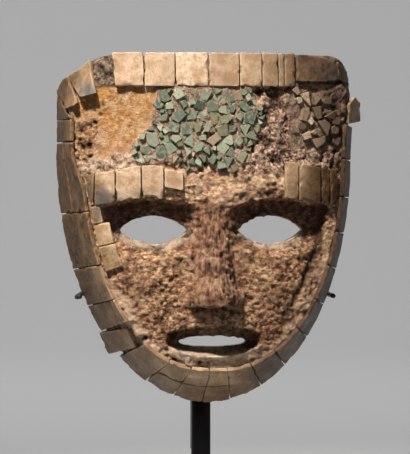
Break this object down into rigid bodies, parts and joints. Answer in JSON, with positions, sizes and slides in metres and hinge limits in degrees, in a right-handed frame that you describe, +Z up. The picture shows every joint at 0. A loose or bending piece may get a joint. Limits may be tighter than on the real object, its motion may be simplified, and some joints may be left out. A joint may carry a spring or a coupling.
{
  "type": "mosaic funerary mask on a stand",
  "caption": "Hollow carved wooden face mask edged with shell plates, with the remains of a greenstone mosaic on its brow, held on a black square post and plate.",
  "frame": {"origin": "centre of the stand's underside, where it meets the table", "axes": "+Z up, the face looks along -Y, +X to the viewer's right"},
  "size_m": [0.202, 0.115, 0.3401],
  "materials": {
    "carved_wood": "weathered, crusted with mortar and resin",
    "shell": "aged shell, cream to grey-brown, low sheen",
    "greenstone": "polished greenstone chips in mortar",
    "black_steel": "matte black paint"
  },
  "bodies": {
    "root": {"border_plate_01": "shell", "border_plate_02": "shell", "border_plate_03": "shell", "border_plate_04": "shell", "border_plate_05": "shell", "border_plate_06": "shell", "border_plate_07": "shell", "border_plate_08": "shell", "border_plate_09": "shell", "border_plate_10": "shell", "border_plate_11": "shell", "border_plate_12": "shell", "border_plate_13": "shell", "border_plate_14": "shell", "border_plate_15": "shell", "border_plate_16": "shell", "border_plate_17": "shell", "border_plate_18": "shell", "border_plate_19": "shell", "border_plate_20": "shell", "border_plate_21": "shell", "border_plate_22": "shell", "border_plate_23": "shell", "border_plate_24": "shell", "border_plate_25": "shell", "border_plate_26": "shell", "border_plate_27": "shell", "border_plate_28": "shell", "border_plate_29": "shell", "border_plate_30": "shell", "border_plate_31": "shell", "brow_plate_01": "shell", "brow_plate_02": "shell", "brow_plate_03": "shell", "brow_plate_04": "shell", "brow_plate_05": "shell", "brow_plate_06": "shell", "brow_plate_07": "shell", "brow_plate_08": "shell", "brow_plate_09": "shell", "cheek_plate_01": "shell", "cheek_plate_02": "shell", "cheek_plate_03": "shell", "corner_plate_01": "shell", "corner_plate_02": "shell", "corner_plate_03": "shell", "corner_plate_04": "shell", "corner_plate_05": "shell", "greenstone_mosaic": "greenstone", "shell_mosaic": "shell", "slipped_plate": "shell", "stand_base": "black_steel", "stand_cradle": "black_steel", "stand_post": "black_steel", "wooden_face": "carved_wood"}
  },
  "joints": []
}
